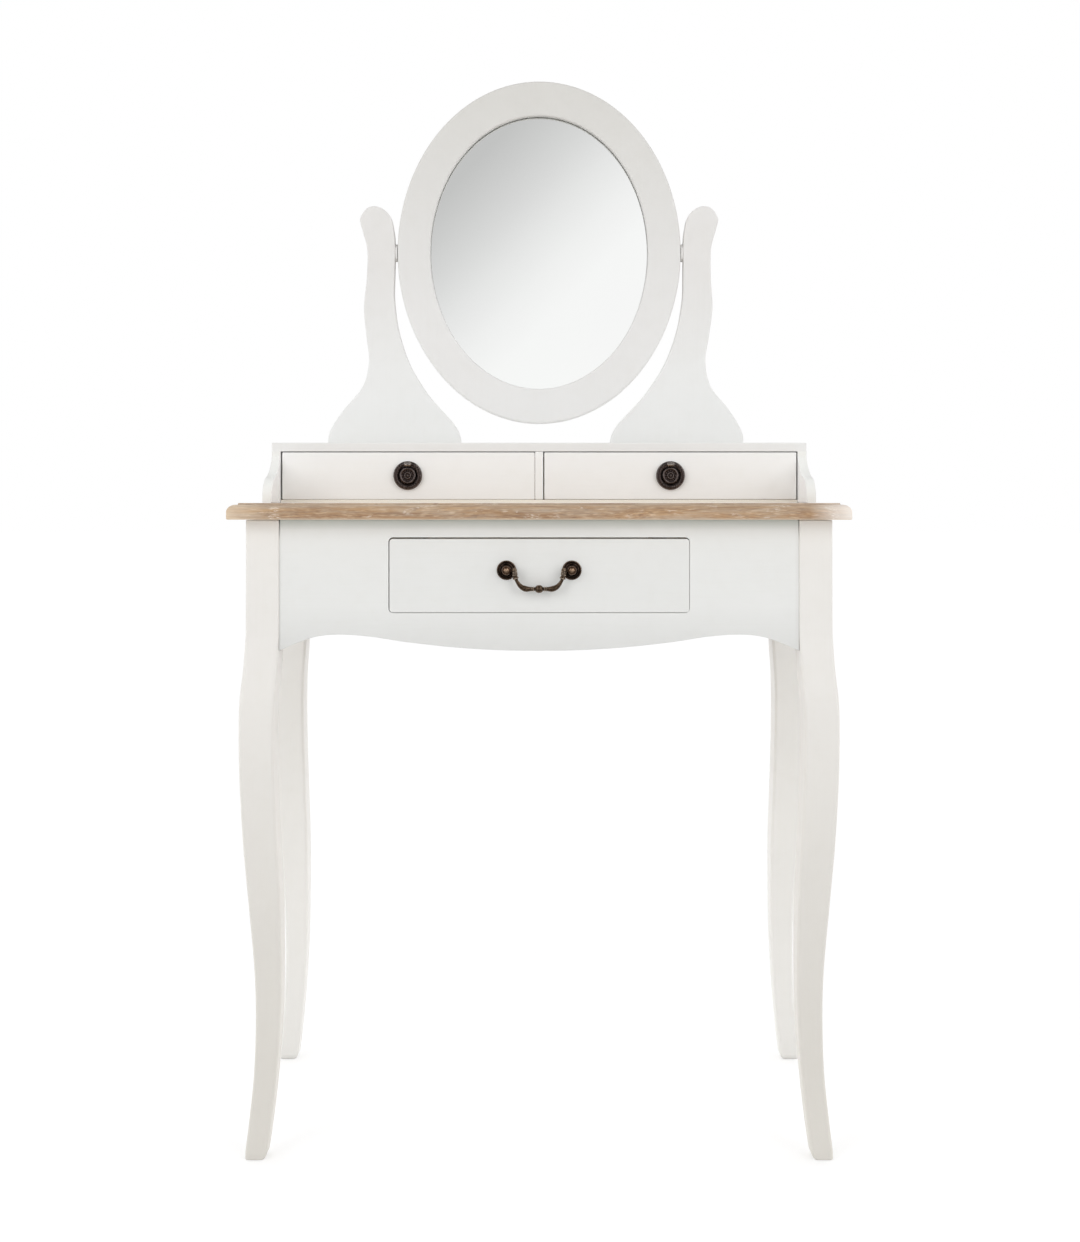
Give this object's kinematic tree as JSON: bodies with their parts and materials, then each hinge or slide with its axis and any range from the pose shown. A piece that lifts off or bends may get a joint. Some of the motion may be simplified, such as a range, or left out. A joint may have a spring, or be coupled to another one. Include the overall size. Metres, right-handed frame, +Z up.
{
  "type": "dressing table",
  "caption": "Free-standing dressing table on cabriole legs, with an apron drawer, a low drawer gallery and a tilting oval mirror.",
  "frame": {"origin": "on the floor, under the middle of the tabletop", "axes": "+Z up; the front with the drawers and the mirror's glass faces -Y; +X is to the right of someone who looks at the front"},
  "size_m": [0.755, 0.4, 1.3705],
  "materials": {
    "white_paint": "satin white brushed paint on wood",
    "whitewashed_top": "whitewashed natural grain, matt",
    "raw_wood": "planed, unpainted",
    "hardboard": "thin fibre board, unpainted",
    "antique_bronze": "dark antique patina with rubbed edges",
    "zinc_steel": "zinc plated",
    "mirror_silver": "silvered float glass"
  },
  "bodies": {
    "table": {"tabletop": "whitewashed_top", "leg_front_left": "white_paint", "leg_front_right": "white_paint", "leg_back_left": "white_paint", "leg_back_right": "white_paint", "front_apron": "white_paint", "back_apron": "white_paint", "side_apron_left": "white_paint", "side_apron_right": "white_paint", "corner_block_front_left": "raw_wood", "corner_block_front_right": "raw_wood", "corner_block_back_left": "raw_wood", "corner_block_back_right": "raw_wood", "leg_bolt_front_left": "zinc_steel", "leg_bolt_front_right": "zinc_steel", "leg_bolt_back_left": "zinc_steel", "leg_bolt_back_right": "zinc_steel", "drawer_runner_left": "raw_wood", "drawer_runner_right": "raw_wood", "drawer_kicker_left": "raw_wood", "drawer_kicker_right": "raw_wood", "gallery_top": "white_paint", "gallery_bottom": "white_paint", "gallery_side_left": "white_paint", "gallery_side_right": "white_paint", "gallery_divider": "white_paint", "gallery_back": "hardboard", "mirror_support_left": "white_paint", "mirror_support_right": "white_paint", "mirror_pivot_left": "zinc_steel", "mirror_pivot_right": "zinc_steel"},
    "centre_drawer": {"centre_drawer_front": "white_paint", "centre_drawer_side_left": "raw_wood", "centre_drawer_side_right": "raw_wood", "centre_drawer_back": "raw_wood", "centre_drawer_bottom": "hardboard", "bail_plate_left": "antique_bronze", "bail_plate_right": "antique_bronze", "bail_post_left": "antique_bronze", "bail_post_right": "antique_bronze", "bail_screw_left": "zinc_steel", "bail_screw_right": "zinc_steel"},
    "bail": {"bail_handle": "antique_bronze"},
    "left_drawer": {"left_drawer_front": "white_paint", "left_drawer_side_left": "raw_wood", "left_drawer_side_right": "raw_wood", "left_drawer_back": "raw_wood", "left_drawer_bottom": "hardboard", "left_pull_plate": "antique_bronze"},
    "left_ring": {"left_pull_ring": "antique_bronze"},
    "right_drawer": {"right_drawer_front": "white_paint", "right_drawer_side_left": "raw_wood", "right_drawer_side_right": "raw_wood", "right_drawer_back": "raw_wood", "right_drawer_bottom": "hardboard", "right_pull_plate": "antique_bronze"},
    "right_ring": {"right_pull_ring": "antique_bronze"},
    "mirror": {"mirror_frame": "white_paint", "mirror_glass": "mirror_silver", "mirror_back_board": "hardboard"}
  },
  "joints": [
    {"name": "centre_drawer_slide", "type": "slide", "parent": "table", "child": "centre_drawer", "axis": [0, -1, 0], "range_m": [0, 0.22]},
    {"name": "left_drawer_slide", "type": "slide", "parent": "table", "child": "left_drawer", "axis": [0, -1, 0], "range_m": [0, 0.14]},
    {"name": "right_drawer_slide", "type": "slide", "parent": "table", "child": "right_drawer", "axis": [0, -1, 0], "range_m": [0, 0.14]},
    {"name": "bail_swing", "type": "hinge", "parent": "centre_drawer", "child": "bail", "pos_m": [0, -0.1867, 0.71355], "axis": [-1, 0, 0], "range_deg": [-8, 90]},
    {"name": "left_ring_swing", "type": "hinge", "parent": "left_drawer", "child": "left_ring", "pos_m": [-0.16987, -0.052, 0.84467], "axis": [-1, 0, 0], "range_deg": [0, 90]},
    {"name": "right_ring_swing", "type": "hinge", "parent": "right_drawer", "child": "right_ring", "pos_m": [0.16987, -0.052, 0.84467], "axis": [-1, 0, 0], "range_deg": [0, 90]},
    {"name": "mirror_tilt", "type": "hinge", "parent": "table", "child": "mirror", "pos_m": [0, 0.072, 1.137], "axis": [1, 0, 0], "range_deg": [-45, 45]}
  ]
}
